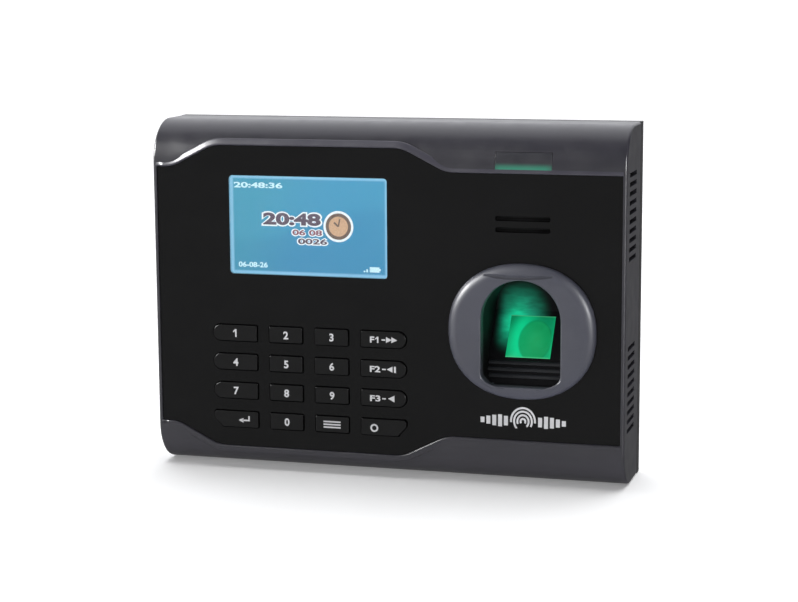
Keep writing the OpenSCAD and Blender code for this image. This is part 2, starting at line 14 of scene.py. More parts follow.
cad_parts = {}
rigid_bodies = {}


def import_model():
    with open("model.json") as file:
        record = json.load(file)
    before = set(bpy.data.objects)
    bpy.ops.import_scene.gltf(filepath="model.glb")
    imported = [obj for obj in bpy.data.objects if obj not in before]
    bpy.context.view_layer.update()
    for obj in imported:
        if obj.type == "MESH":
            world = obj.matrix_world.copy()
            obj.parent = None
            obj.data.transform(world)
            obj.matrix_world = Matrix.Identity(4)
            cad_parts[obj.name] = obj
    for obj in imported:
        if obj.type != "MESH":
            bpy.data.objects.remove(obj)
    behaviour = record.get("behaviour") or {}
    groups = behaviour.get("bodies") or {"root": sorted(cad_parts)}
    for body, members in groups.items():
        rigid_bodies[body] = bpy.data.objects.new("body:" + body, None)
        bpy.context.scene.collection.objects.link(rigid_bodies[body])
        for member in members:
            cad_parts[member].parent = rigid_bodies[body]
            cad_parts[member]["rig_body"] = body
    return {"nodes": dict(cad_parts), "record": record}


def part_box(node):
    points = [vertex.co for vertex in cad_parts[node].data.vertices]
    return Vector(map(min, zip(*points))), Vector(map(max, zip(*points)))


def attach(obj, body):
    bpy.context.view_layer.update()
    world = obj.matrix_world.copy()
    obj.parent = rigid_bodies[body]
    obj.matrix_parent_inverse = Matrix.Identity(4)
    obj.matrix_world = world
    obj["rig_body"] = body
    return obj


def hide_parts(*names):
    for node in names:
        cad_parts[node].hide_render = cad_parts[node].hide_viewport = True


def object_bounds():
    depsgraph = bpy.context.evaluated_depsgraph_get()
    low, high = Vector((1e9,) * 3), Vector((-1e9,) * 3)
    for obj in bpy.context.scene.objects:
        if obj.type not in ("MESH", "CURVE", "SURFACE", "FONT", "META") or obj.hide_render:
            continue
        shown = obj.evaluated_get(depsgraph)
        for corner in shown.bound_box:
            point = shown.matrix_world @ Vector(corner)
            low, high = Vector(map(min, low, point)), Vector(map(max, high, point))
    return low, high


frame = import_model()
CAD_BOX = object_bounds()
NODES = frame["nodes"]
SLOTS = {part["node"]: part["material_slot"] for part in frame["record"]["subparts"]}

MM = 0.001
FRONT_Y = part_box("front_frame")[0].y / MM
TAU = 2 * math.pi
SCENE = bpy.context.scene


def depth_of(y):
    """Depth behind the front plane of the case, in mm, of a Y in metres."""
    return y / MM - FRONT_Y


def middle(node):
    """X and Z of a node's middle, in mm."""
    low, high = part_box(node)
    return (low.x + high.x) / 2 / MM, (low.z + high.z) / 2 / MM


def between(a, b, share):
    """The point that lies a share of the way from a to b."""
    return a[0] + (b[0] - a[0]) * share, a[1] + (b[1] - a[1]) * share


# ---------------------------------------------------------------- node trees

class Graph:
    """A node tree, and short ways to add nodes to it."""

    def __init__(self, tree, coordinates):
        self.tree = tree
        self.tree.nodes.clear()
        self.coord = self.add("TexCoord").outputs[coordinates]

    def add(self, kind, **settings):
        node = self.tree.nodes.new("ShaderNode" + kind)
        for key, value in settings.items():
            setattr(node, key, value)
        return node

    def feed(self, socket, value):
        """Drives an input by another node's output, or sets it to a constant."""
        if isinstance(value, bpy.types.NodeSocket):
            self.tree.links.new(value, socket)
        elif socket.type == "RGBA":
            socket.default_value = (*value, 1)
        else:
            socket.default_value = value

    def fill(self, node, **values):
        """Feeds inputs by name, with _ in place of a space."""
        for key, value in values.items():
            self.feed(node.inputs[key.replace("_", " ")], value)
        return node

    def math(self, kind, *terms):
        node = self.add("Math", operation=kind)
        for socket, value in zip(node.inputs, terms):
            self.feed(socket, value)
        return node.outputs[0]

    def plus(self, a, b):
        return self.math("ADD", a, b)

    def minus(self, a, b):
        return self.math("SUBTRACT", a, b)

    def times(self, *factors):
        total = factors[0]
        for factor in factors[1:]:
            total = self.math("MULTIPLY", total, factor)
        return total

    def dot(self, a, b):
        node = self.add("VectorMath", operation="DOT_PRODUCT")
        self.feed(node.inputs[0], a)
        self.feed(node.inputs[1], b)
        return node.outputs["Value"]

    def axes(self):
        node = self.add("SeparateXYZ")
        self.feed(node.inputs[0], self.coord)
        return list(node.outputs)

    def span(self, value, low, high, to_low, to_high, smooth=False):
        """Maps low to high onto to_low to to_high, and holds at the ends."""
        node = self.add("MapRange")
        if smooth:
            node.interpolation_type = "SMOOTHSTEP"
        self.fill(node, Value=value, From_Min=low, From_Max=high, To_Min=to_low, To_Max=to_high)
        return node.outputs[0]

    def blend(self, factor, a, b, kind="MIX"):
        """Mixes two colours."""
        node = self.add("Mix", data_type="RGBA", blend_type=kind)
        for place, value in ((0, factor), (6, a), (7, b)):
            self.feed(node.inputs[place], value)
        return node.outputs[2]


class Shader(Graph):
    """A material with a Principled shader, mapped by the object's own coordinates."""

    def __init__(self, name, **values):
        self.name = name
        self.mat = bpy.data.materials.new(name)
        self.mat.use_nodes = True
        super().__init__(self.mat.node_tree, "Object")
        self.bsdf = self.add("BsdfPrincipled")
        self.feed(self.add("OutputMaterial").inputs[0], self.bsdf.outputs[0])
        self.set(**values)

    def set(self, **values):
        """Feeds the Principled shader's own inputs."""
        self.fill(self.bsdf, **values)
        return self

    def noise(self, size_mm, detail=2, stretch=None, rough=0.5):
        """Noise whose features are about size_mm wide."""
        where = self.coord
        if stretch:
            where = self.fill(self.add("Mapping"), Vector=self.coord, Scale=stretch).outputs[0]
        node = self.fill(self.add("TexNoise"), Vector=where, Scale=1000 / size_mm, Detail=detail,
                         Roughness=rough)
        return node.outputs[0]

    def clouded(self, noise, rgb, darker, lighter):
        """A colour that wanders between two shades of itself."""
        return self.blend(self.span(noise, 0.3, 0.7, 0, 1), shade(rgb, darker), shade(rgb, lighter))

    def bump(self, height, depth_mm, after=None):
        node = self.fill(self.add("Bump"), Strength=1.0, Distance=depth_mm * MM, Height=height)
        if after is not None:
            self.fill(node, Normal=after)
        return node.outputs[0]

    def place(self):
        """X, Y and Z of the point in millimetres."""
        return [self.times(axis, 1000) for axis in self.axes()]

    def worn(self, radius_mm):
        """1 on convex and concave edges, 0 on open faces."""
        rounded = self.fill(self.add("Bevel", samples=4), Radius=radius_mm * MM).outputs[0]
        true = self.add("NewGeometry").outputs["Normal"]
        return self.span(self.dot(rounded, true), 0.97, 0.75, 0, 1)


# ---------------------------------------------------------------- camera, light, floor

CAMERA_PLACE = Vector((0.220493, -0.780193, 0.127368))
CAMERA_YAW, CAMERA_PITCH, CAMERA_ROLL = 16.079, 9.282, -0.3457
FOCAL_LENGTH, SENSOR_WIDTH = 89.93, 36


def make_camera():
    yaw, pitch, roll = (math.radians(a) for a in (CAMERA_YAW, CAMERA_PITCH, CAMERA_ROLL))
    ahead = Vector((-math.sin(yaw) * math.cos(pitch), math.cos(yaw) * math.cos(pitch), -math.sin(pitch)))
    level = Vector((math.cos(yaw), math.sin(yaw), 0))
    over = level.cross(ahead)
    right = math.cos(roll) * level + math.sin(roll) * over
    up = math.cos(roll) * over - math.sin(roll) * level
    data = bpy.data.cameras.new("camera")
    data.sensor_width = SENSOR_WIDTH
    data.lens = FOCAL_LENGTH
    data.clip_start = 0.01
    data.clip_end = 20
    camera = bpy.data.objects.new("camera", data)
    SCENE.collection.objects.link(camera)
    columns = (right, up, -ahead, CAMERA_PLACE)
    camera.matrix_world = Matrix([[c[row] for c in columns] for row in range(3)] + [[0, 0, 0, 1]])
    SCENE.camera = camera


# Share of the way round to the bright side, and the room's grey there
BRIGHT_SIDE = (-0.22, 0.7, 0.68)
ROOM_GREYS = ((0.0, 0.065), (0.5, 0.065), (0.76, 0.07), (0.86, 0.85), (1.0, 1.45))


def make_world():
    """Plain white to the camera. Other rays see a dim room that is bright above and behind the object."""
    world = bpy.data.worlds.new("studio")
    world.use_nodes = True
    SCENE.world = world
    g = Graph(world.node_tree, "Generated")
    ramp = g.add("ValToRGB")
    g.feed(ramp.inputs[0], g.math("MULTIPLY_ADD", g.dot(g.coord, BRIGHT_SIDE), 0.5, 0.5))
    for place, _ in ROOM_GREYS[1:-1]:
        ramp.color_ramp.elements.new(place)
    for element, (place, grey) in zip(ramp.color_ramp.elements, ROOM_GREYS):
        element.position = place
        element.color = (grey, grey * 1.01, grey * 1.04, 1)
    _, y, z = g.axes()
    ground = g.span(y, -0.4, 0.5, 0.44, 0.17)
    above = g.span(z, -0.05, 0.06, 0, 1, True)
    room = g.fill(g.add("Background"), Color=g.blend(above, ground, ramp.outputs[0]))
    white = g.fill(g.add("Background"), Color=(1, 1, 1), Strength=1.15)
    mix = g.add("MixShader")
    g.feed(mix.inputs[0], g.add("LightPath").outputs["Is Camera Ray"])
    g.feed(mix.inputs[1], room.outputs[0])
    g.feed(mix.inputs[2], white.outputs[0])
    g.feed(g.add("OutputWorld").inputs[0], mix.outputs[0])


def area_light(name, place, target, size, power):
    data = bpy.data.lights.new(name, "AREA")
    data.shape = "RECTANGLE"
    data.size, data.size_y = size
    data.energy = power
    obj = bpy.data.objects.new(name, data)
    SCENE.collection.objects.link(obj)
    obj.location = place
    obj.rotation_euler = (Vector(target) - Vector(place)).to_track_quat("-Z", "Y").to_euler()
    return obj


def make_lights():
    """Two lights that make only highlights, and three that make none."""
    key = area_light("key", (-1.1, -0.6, 0.55), (-0.02, 0, 0.01), (0.52, 0.46), 44)
    side = area_light("side", (0.97, -0.75, 0.26), (0.05, 0, 0), (0.25, 0.45), 12)
    for light in (key, side):
        light.visible_diffuse = False
    over = area_light("over", (0.0, 0.35, 1.6), (0, 0, 0), (2.0, 1.2), 6)
    fill = area_light("fill", (-0.5, -1.3, 0.5), (0, 0, 0), (1.2, 0.9), 4)
    data = bpy.data.lights.new("sky", "SUN")
    data.energy = 1.6
    data.angle = math.radians(62)
    sky = bpy.data.objects.new("sky", data)
    SCENE.collection.objects.link(sky)
    sky.rotation_euler = (math.radians(-6), math.radians(4), 0)
    for light in (over, fill, sky):
        light.visible_glossy = False


def make_floor():
    """Pale paper just under the case. It takes the shadow but isn't mirrored in the object."""
    gap, half_side, steps = 0.0002, 15.0, 24
    mesh = bpy.data.meshes.new("floor")
    bm = bmesh.new()
    bmesh.ops.create_grid(bm, x_segments=steps, y_segments=steps, size=half_side)
    bm.to_mesh(mesh)
    bm.free()
    floor = bpy.data.objects.new("floor", mesh)
    floor.location = (0, 1.5, CAD_BOX[0].z - gap)
    floor.visible_glossy = False
    SCENE.collection.objects.link(floor)
    s = Shader("floor_paper", Roughness=0.9, Specular_IOR_Level=0.2, Emission_Strength=0.2)
    paper = s.blend(s.span(s.noise(60, 3), 0.3, 0.7, 0, 1), (0.93, 0.93, 0.93), (0.96, 0.96, 0.965))
    s.set(Base_Color=paper, Emission_Color=paper, Normal=s.bump(s.noise(0.8, 3), 0.01))
    floor.data.materials.append(s.mat)


# ---------------------------------------------------------------- materials

def shade(rgb, factor):
    return tuple(c * factor for c in rgb)


# The denoiser leaves specks on a surface whose textured roughness dips below this
LEAST_ROUGH = 0.285


def moulded(name, rgb, rough=0.45, grain_mm=0.35, grain_depth=0.012, vary=0.12, wear=0.0, shine=0.5):
    """Moulded plastic: fine grain, faint clouding of the colour, uneven gloss and rubbed edges."""
    s = Shader(name, Specular_IOR_Level=shine)
    colour = s.clouded(s.noise(18, 4), rgb, 1 - vary, 1 + vary)
    fleck = s.span(s.noise(max(grain_mm * 6, 2.2), 1), 0.3, 0.7, 0, 0.12)
    colour = s.blend(fleck, colour, shade(rgb, 1.25))
    if wear:
        edge = s.times(s.worn(0.35), s.span(s.noise(3, 3), 0.35, 0.65, 0.2, 1), wear)
        colour = s.blend(edge, colour, shade(rgb, 2.2))
    fine = s.bump(s.noise(max(grain_mm * 4, 1.4), 1), grain_depth)
    return s.set(
        Base_Color=colour,
        Roughness=s.span(s.noise(7, 3), 0.25, 0.75, max(LEAST_ROUGH, rough - 0.06), rough + 0.06),
        Normal=s.bump(s.noise(25, 1), 0.02, after=fine),
    )


def metal(name, rgb, rough, brush, brush_mm):
    """Metal with brush or draw marks, clouded plating and brighter rubbed edges."""
    s = Shader(name, Metallic=1.0)
    marks = s.noise(brush_mm, 4, stretch=brush)
    cloud = s.noise(9, 4)
    colour = s.clouded(cloud, rgb, 0.85, 1.09)
    colour = s.blend(s.span(marks, 0.35, 0.65, 0, 0.3), colour, shade(rgb, 0.78))
    edge = s.times(s.worn(0.25), s.span(s.noise(2, 2), 0.3, 0.7, 0.3, 1), 0.4)
    return s.set(
        Base_Color=s.blend(edge, colour, tuple(min(1, c * 1.4) for c in rgb)),
        Roughness=s.plus(s.span(marks, 0.3, 0.7, rough - 0.05, rough + 0.08),
                         s.span(cloud, 0.3, 0.7, -0.03, 0.05)),
        Normal=s.bump(marks, 0.004),
    )


def glossy_black(name, rgb, rough=0.16, smudge=0.10, shine=0.5):
    """Lacquered black plastic: faint orange peel, wiped smudges and a little dust."""
    s = Shader(name, Specular_IOR_Level=shine)
    wipe = s.span(s.noise(14, 4, stretch=(1, 1, 2.4)), 0.35, 0.7, rough, rough + smudge)
    dust = s.span(s.noise(0.55, 2, rough=0.7), 0.73, 0.78, 0, 0.5)
    colour = s.clouded(s.noise(30, 3), rgb, 0.9, 1.12)
    peel = s.bump(s.noise(1.6, 2), 0.0016)
    return s.set(
        Base_Color=s.blend(dust, colour, (0.05, 0.05, 0.052)),
        Roughness=s.plus(wipe, s.times(dust, 0.3)),
        Normal=s.bump(s.noise(40, 1), 0.03, after=peel),
    )


def board_material():
    """Solder mask over copper tracks."""
    green = (0.008, 0.06, 0.022)
    s = Shader("board_green")
    upright = s.fill(s.add("Mapping"), Vector=s.coord, Rotation=(math.pi / 2, 0, 0))
    brick = s.fill(s.add("TexBrick"), Vector=upright.outputs[0], Scale=260, Mortar_Size=0.055,
                   Color1=(0, 0, 0), Color2=(0.3, 0.3, 0.3), Mortar=(1, 1, 1))
    tracks = s.span(brick.outputs["Color"], 0.4, 0.9, 0, 1)
    mask = s.blend(s.noise(6), shade(green, 0.85), shade(green, 1.15))
    return s.set(
        Base_Color=s.blend(tracks, mask, shade(green, 1.7)),
        Roughness=s.span(s.noise(4), 0.3, 0.7, 0.28, 0.42),
        Normal=s.bump(tracks, 0.03),
    )


def mesh_material():
    """Dust cloth of the speaker: a fine grid of holes."""
    s = Shader("mesh_black", Metallic=0.6)
    grid = s.fill(s.add("TexVoronoi"), Vector=s.coord, Scale=1100, Randomness=0.0)
    thread = s.span(grid.outputs["Distance"], 0.25, 0.42, 0, 1)
    return s.set(
        Base_Color=s.blend(thread, (0.001, 0.001, 0.001), (0.025, 0.025, 0.026)),
        Roughness=s.span(thread, 0, 1, 0.9, 0.4),
        Normal=s.bump(thread, 0.1),
    )


def window_material():
    """Clear window, faintly cool, with wiped gloss."""
    s = Shader("window_clear", IOR=1.45, Transmission_Weight=1.0)
    return s.set(
        Base_Color=s.blend(s.noise(20, 2), (0.93, 0.97, 0.99), (0.97, 0.99, 1.0)),
        Roughness=s.span(s.noise(12, 4), 0.45, 0.75, 0.015, 0.06),
    )


PICTURE_W, PICTURE_H = 65.3, 39.2


def picture_material():
    """Lit display: pale edge line, blue field with soft curved highlights and a faint pixel grid."""
    cx, cz = middle("lcd_panel")
    s = Shader("lcd_glass", Base_Color=(0.01, 0.02, 0.03), Specular_IOR_Level=0.1, Emission_Strength=0.96)
    x, _, z = s.place()
    u = s.minus(x, cx)
    v = s.minus(z, cz)
    slant = s.plus(s.times(u, 0.22), v)
    field = s.blend(s.span(slant, -20, 22, 0, 1), (0.012, 0.25, 0.47), (0.016, 0.30, 0.53))
    wave = s.minus(v, s.times(s.math("SINE", s.times(u, 0.062)), 6.5))
    field = s.blend(s.times(s.span(wave, -1.5, 2.5, 0, 1, True), 0.34), field, (0.05, 0.38, 0.6))
    swell = s.minus(v, s.span(u, -33, 33, -12, 9))
    field = s.blend(s.times(s.span(swell, -3, 3, 1, 0, True), 0.25), field, (0.03, 0.27, 0.5))
    tint = s.span(s.plus(u, s.times(v, -0.4)), -30, 5, 0.4, 0, True)
    field = s.blend(tint, field, (0.04, 0.36, 0.42))
    edge = s.math("MAXIMUM", s.minus(s.math("ABSOLUTE", u), PICTURE_W / 2 - 1),
                  s.minus(s.math("ABSOLUTE", v), PICTURE_H / 2 - 1))
    line = s.span(edge, -0.45, 0.35, 0, 1, True)
    field = s.blend(s.times(line, 0.75), field, (0.32, 0.66, 0.9))
    grid = s.fill(s.add("TexChecker"), Vector=s.coord, Scale=6100, Color1=(1, 1, 1),
                  Color2=(0.94, 0.94, 0.94))
    field = s.blend(1.0, field, grid.outputs["Color"], "MULTIPLY")
    return s.set(Emission_Color=field, Roughness=s.span(s.noise(8), 0.3, 0.7, 0.35, 0.45))


READER_X = 56
GLASS_Z, GLASS_DEPTH, GLASS_TILT = -13.7, 15.75, math.radians(37)


def glow_glass_material():
    """Finger glass lit green from inside: brighter at the upper left, with a darker round lens image."""
    s = Shader("prism_glass", Base_Color=(0.004, 0.05, 0.02), Emission_Strength=1.0, Coat_Weight=0.6,
               Coat_Roughness=0.05)
    x, _, z = s.place()
    u = s.minus(x, READER_X)
    w = s.math("DIVIDE", s.minus(z, GLASS_Z), math.cos(GLASS_TILT))
    across = s.math("DIVIDE", s.minus(u, 2.0), 6.6)
    along = s.math("DIVIDE", s.minus(w, -1.6), 9.0)
    lens = s.math("SQRT", s.plus(s.times(across, across), s.times(along, along)))
    glow = s.blend(s.span(w, -7, 8, 0, 1), (0.003, 0.32, 0.12), (0.002, 0.15, 0.06))
    halo = s.times(s.span(lens, 1.05, 1.9, 1, 0.1, True), s.span(u, -6.5, 4.5, 1, 0.1, True))
    glow = s.blend(halo, glow, (0.004, 0.66, 0.28))
    rim = s.times(s.span(lens, 0.86, 0.95, 0, 1, True), s.span(lens, 0.97, 1.06, 1, 0, True), 0.55)
    glow = s.blend(rim, glow, (0.003, 0.17, 0.05))
    glow = s.blend(s.times(s.span(lens, 0.9, 0.97, 1, 0, True), 0.8), glow, (0.006, 0.27, 0.08))
    glow = s.blend(s.span(lens, 0.1, 0.8, 0.5, 0, True), glow, (0.022, 0.38, 0.13))
    foot = s.times(s.span(w, -9.35, -8.6, 1, 0, True), 0.8)
    glow = s.blend(foot, glow, (0.08, 0.62, 0.26))
    glow = s.blend(s.span(w, 8.7, 9.3, 0, 0.6, True), glow, (0.09, 0.42, 0.2))
    side = s.times(s.span(u, 7.6, 8.8, 0, 0.6, True), s.span(w, -9, 5, 1, 0.3, True))
    glow = s.blend(side, glow, (0.008, 0.5, 0.19))
    glow = s.blend(s.span(s.noise(3.5, 3), 0.35, 0.65, 0, 0.15), glow, (0.01, 0.42, 0.17))
    out_of_glass = (0, -math.cos(GLASS_TILT), math.sin(GLASS_TILT))
    front = s.dot(s.add("NewGeometry").outputs["Normal"], out_of_glass)
    glow = s.blend(s.span(front, 0.3, 0.7, 0, 1), (0, 0.006, 0.003), glow)
    return s.set(Emission_Color=glow, Roughness=s.span(s.noise(5, 3), 0.3, 0.7, 0.05, 0.16))


def status_light_material():
    """Window coloured like the case, lit green along its lower edge."""
    s = Shader("indicator_lens", Specular_IOR_Level=0.6, Emission_Strength=0.8)
    x, _, z = s.place()
    foot = s.span(z, 54.0, 56.6, 1, 0, True)
    ends = s.span(s.math("ABSOLUTE", s.minus(x, READER_X)), 8.5, 11.4, 1, 0.35, True)
    return s.set(
        Base_Color=s.blend(s.times(foot, 0.8), (0.031, 0.031, 0.041), (0.01, 0.14, 0.10)),
        Emission_Color=s.blend(s.times(foot, ends), (0, 0, 0), (0.012, 0.15, 0.085)),
        Roughness=s.span(s.noise(5, 2), 0.3, 0.7, 0.32, 0.4),
        Normal=s.bump(s.noise(0.3, 2), 0.003),
    )


CASE_GREY = (0.031, 0.0295, 0.041)

# Colour, roughness, width and depth of the grain, clouding of the colour, rubbing of the edges
PLASTICS = {
    "frame_plastic": (CASE_GREY, 0.32, 0.3, 0.006, 0.06, 0.35),
    "bezel_grey": ((0.076, 0.079, 0.107), 0.42, 0.25, 0.003, 0.05),
    "cover_plastic": ((0.03, 0.029, 0.031), 0.38, 0.5, 0.02, 0.15, 0.3),
    "key_black": ((0.006, 0.006, 0.0064), 0.3, 0.3, 0.003, 0.12, 0.5),
    "mat_silicone": ((0.05, 0.05, 0.055), 0.7, 0.5, 0.02),
    "optics_black": ((0.012, 0.012, 0.012), 0.6, 0.4, 0.02),
    "speaker_black": ((0.015, 0.015, 0.016), 0.55, 0.6, 0.03),
    "cable_white": ((0.6, 0.6, 0.62), 0.45, 0.8, 0.02, 0.05),
    "capacitor_blue": ((0.01, 0.012, 0.06), 0.3, 0.9, 0.01),
    "relay_blue": ((0.012, 0.07, 0.25), 0.35, 0.5, 0.01),
    "terminal_green": ((0.02, 0.2, 0.06), 0.4, 0.4, 0.01, 0.1, 0.4),
    "jack_black": ((0.014, 0.014, 0.015), 0.42, 0.4, 0.01, 0.1, 0.4),
    "button_red": ((0.42, 0.03, 0.02), 0.4, 0.4, 0.01, 0.1, 0.4),
    "flex_amber": ((0.5, 0.16, 0.015), 0.3, 1.5, 0.02),
    "rim_grey": (CASE_GREY, 0.32, 0.3, 0.003, 0.05),
    # Lighter copy of the rim grey for the top crest: painted light.
    "rim_painted_lit": (shade(CASE_GREY, 1.9), 0.36, 0.3, 0.003, 0.05),
}

# Specular level of the plastics that are shinier or duller than the rest
SHINE = {"frame_plastic": 0.8, "bezel_grey": 0.6, "key_black": 0.28, "rim_grey": 0.8, "rim_painted_lit": 0.8}
USUAL_SHINE = 0.5

# Colour, roughness, stretch and width of the brush marks
EVEN = (1, 1, 1)
METALS = {
    "lcd_frame": ((0.55, 0.55, 0.56), 0.35, EVEN, 0.7),
    "plate_steel": ((0.5, 0.51, 0.52), 0.38, (0.05, 1, 1), 0.35),
    "screw_steel": ((0.56, 0.56, 0.57), 0.37, EVEN, 0.4),
    "shield_metal": ((0.6, 0.6, 0.6), 0.28, (0.1, 1, 1), 0.4),
    "jack_metal": ((0.6, 0.6, 0.61), 0.26, (0.1, 1, 1), 0.3),
    "cell_steel": ((0.62, 0.62, 0.61), 0.24, EVEN, 0.5),
    "insert_brass": ((0.62, 0.42, 0.13), 0.3, EVEN, 0.4),
    "contact_gold": ((0.85, 0.6, 0.22), 0.2, EVEN, 0.3),
}


def make_materials():
    shaders = [moulded(name, *look, shine=SHINE.get(name, USUAL_SHINE)) for name, look in PLASTICS.items()]
    shaders += [metal(name, *look) for name, look in METALS.items()]
    shaders += [
        glossy_black("panel_gloss", (0.005, 0.005, 0.0053), shine=0.25),
        glossy_black("cup_black", (0.008, 0.008, 0.009), 0.12),
        board_material(),
        mesh_material(),
        window_material(),
        picture_material(),
        glow_glass_material(),
        status_light_material(),
    ]
    return {s.name: s.mat for s in shaders}


# ---------------------------------------------------------------- mesh helpers

def link_piece(name, mesh, body, material, hides=()):
    """Shows a mesh as a piece that rides on a body. A slot of None leaves the piece without one."""
    obj = bpy.data.objects.new(name, mesh)
    SCENE.collection.objects.link(obj)
    mesh.materials.clear()
    mesh.materials.append(material)
    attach(obj, body)
    if hides:
        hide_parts(*hides)
    return obj


def set_smooth(mesh, smooth=True):
    mesh.polygons.foreach_set("use_smooth", [smooth] * len(mesh.polygons))


def mesh_piece(name, verts, faces):
    """Mesh from points (x, depth, z) in millimetres."""
    mesh = bpy.data.meshes.new(name)
    mesh.from_pydata([(x * MM, (FRONT_Y + d) * MM, z * MM) for x, d, z in verts], [], faces)
    bm = bmesh.new()
    bm.from_mesh(mesh)
    bmesh.ops.recalc_face_normals(bm, faces=bm.faces)
    bm.to_mesh(mesh)
    bm.free()
    set_smooth(mesh)
    return mesh


def add_bevel(obj, width, segments=2, angle=32):
    mod = obj.modifiers.new("edges", "BEVEL")
    mod.width = width * MM
    mod.segments = segments
    mod.limit_method = "ANGLE"
    mod.angle_limit = math.radians(angle)
    mod.use_clamp_overlap = True
    mod.miter_outer = "MITER_ARC"


def add_weighted(obj):
    mod = obj.modifiers.new("shading", "WEIGHTED_NORMAL")
    mod.mode = "FACE_AREA"
    mod.weight = 50


def clean_mesh(node, name, keep=None, shape=None):
    """A copy of a node's mesh with its triangles merged back into flat faces.

    keep(edge) picks edges that are left alone, and shape(bm) may reshape the mesh further.
    """
    mesh = NODES[node].data.copy()
    mesh.name = name
    if "sharp_face" in mesh.attributes:
        mesh.attributes.remove(mesh.attributes["sharp_face"])
    bm = bmesh.new()
    bm.from_mesh(mesh)
    bmesh.ops.remove_doubles(bm, verts=bm.verts, dist=2e-6)
    edges = [e for e in bm.edges if not (keep and keep(e))]
    verts = bm.verts
    if keep:
        verts = [v for v in bm.verts if not any(keep(e) for e in v.link_edges)]
    bmesh.ops.dissolve_limit(bm, angle_limit=math.radians(0.4), verts=verts, edges=edges)
    if shape:
        shape(bm)
    for edge in bm.edges:
        edge.smooth = True
    bm.to_mesh(mesh)
    bm.free()
    set_smooth(mesh)
    return mesh


def finished(node, mats, width, segments=2, angle=32, suffix="_body", keep=None, shape=None):
    """Replaces a node by its own shape with rounded edges."""
    slot = SLOTS[node]
    name = node + suffix
    obj = link_piece(name, clean_mesh(node, name, keep, shape), NODES[node]["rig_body"], mats[slot],
                     (node,))
    add_bevel(obj, width, segments, angle)
    add_weighted(obj)
    return obj


def solid(near, far):
    """Verts and faces of the solid between two outlines with matching points."""
    n = len(near)
    faces = [tuple(range(n)), tuple(range(2 * n - 1, n - 1, -1))]
    faces += [(i, (i + 1) % n, n + (i + 1) % n, n + i) for i in range(n)]
    return near + far, faces


def prism(outline, front, back):
    """A flat outline (x, z) made solid between two depths."""
    return solid([(x, front, z) for x, z in outline], [(x, back, z) for x, z in outline])


def side_prism(profile, left, right):
    """A profile (depth, z) made solid between two places along X."""
    return solid([(left, d, z) for d, z in profile], [(right, d, z) for d, z in profile])


def gather(parts):
    """Joins several lists of verts and faces into one."""
    verts, faces = [], []
    for part_verts, part_faces in parts:
        base = len(verts)
        verts += part_verts
        faces += [tuple(base + i for i in face) for face in part_faces]
    return verts, faces


def circle(cx, cz, r, steps):
    return [(cx + r * math.cos(TAU * i / steps), cz + r * math.sin(TAU * i / steps)) for i in range(steps)]


def stroke(points, width, closed=False):
    """Outline of a line of even width through points, as a list of quads."""
    normals = []
    for (x0, z0), (x1, z1) in zip(points, points[1:] + (points[:1] if closed else [])):
        length = math.hypot(x1 - x0, z1 - z0)
        normals.append((-(z1 - z0) / length, (x1 - x0) / length))
    joints = []
    for i, (x, z) in enumerate(points):
        before = normals[i - 1] if (i or closed) else normals[0]
        after = normals[i] if i < len(normals) else normals[-1]
        nx, nz = before[0] + after[0], before[1] + after[1]
        length = math.hypot(nx, nz)
        reach = width / 2 / max(0.3, length / 2) / length
        joints.append(((x + nx * reach, z + nz * reach), (x - nx * reach, z - nz * reach)))
    quads = []
    for i in range(len(normals)):
        (a, b), (c, d) = joints[i], joints[(i + 1) % len(points)]
        quads.append([a, c, d, b])
    return quads


def triangle(cx, cz, size, way=-1):
    """Arrow head of equal width and height. It points left, or right where way is 1."""
    half = way * size / 2
    return [(cx + half, cz), (cx - half, cz + size / 2), (cx - half, cz - size / 2)]


def bar(x0, z0, x1, z1):
    return [(x0, z0), (x1, z0), (x1, z1), (x0, z1)]


def moved(shapes, x, z):
    return [[(x + px, z + pz) for px, pz in shape] for shape in shapes]


def printed(name, shapes, front, back, body, material):
    """Flat marks: closed outlines (x, z) made solid between two depths, as one piece."""
    mesh = mesh_piece(name, *gather([prism(shape, front, back) for shape in shapes]))
    set_smooth(mesh, False)
    return link_piece(name, mesh, body, material)


def lettering(name, text, centre, size, front, thick, bold, body, material):
    """Text fitted into size (width or None, height), standing thick mm off the face at depth front."""
    curve = bpy.data.curves.new(name + "_curve", "FONT")
    curve.body = text
    curve.size = 1
    curve.offset = bold
    curve.extrude = 0.5
    curve.resolution_u = 5
    temp = bpy.data.objects.new(name + "_temp", curve)
    SCENE.collection.objects.link(temp)
    bpy.context.view_layer.update()
    mesh = bpy.data.meshes.new_from_object(temp.evaluated_get(bpy.context.evaluated_depsgraph_get()))
    bpy.data.objects.remove(temp)
    bpy.data.curves.remove(curve)
    xs = [v.co.x for v in mesh.vertices]
    zs = [v.co.y for v in mesh.vertices]
    mid_x, mid_z = (max(xs) + min(xs)) / 2, (max(zs) + min(zs)) / 2
    kz = size[1] / (max(zs) - min(zs))
    kx = size[0] / (max(xs) - min(xs)) if size[0] else kz
    for v in mesh.vertices:
        x, z, lift = v.co
        v.co = Vector((
            (centre[0] + (x - mid_x) * kx) * MM,
            (FRONT_Y + front - (lift + 0.5) * thick) * MM,
            (centre[1] + (z - mid_z) * kz) * MM,
        ))
    bm = bmesh.new()
    bm.from_mesh(mesh)
    bmesh.ops.remove_doubles(bm, verts=bm.verts, dist=1e-7)
    bmesh.ops.recalc_face_normals(bm, faces=bm.faces)
    bm.to_mesh(mesh)
    bm.free()
    mesh.name = name
    return link_piece(name, mesh, body, material)


# ---------------------------------------------------------------- case

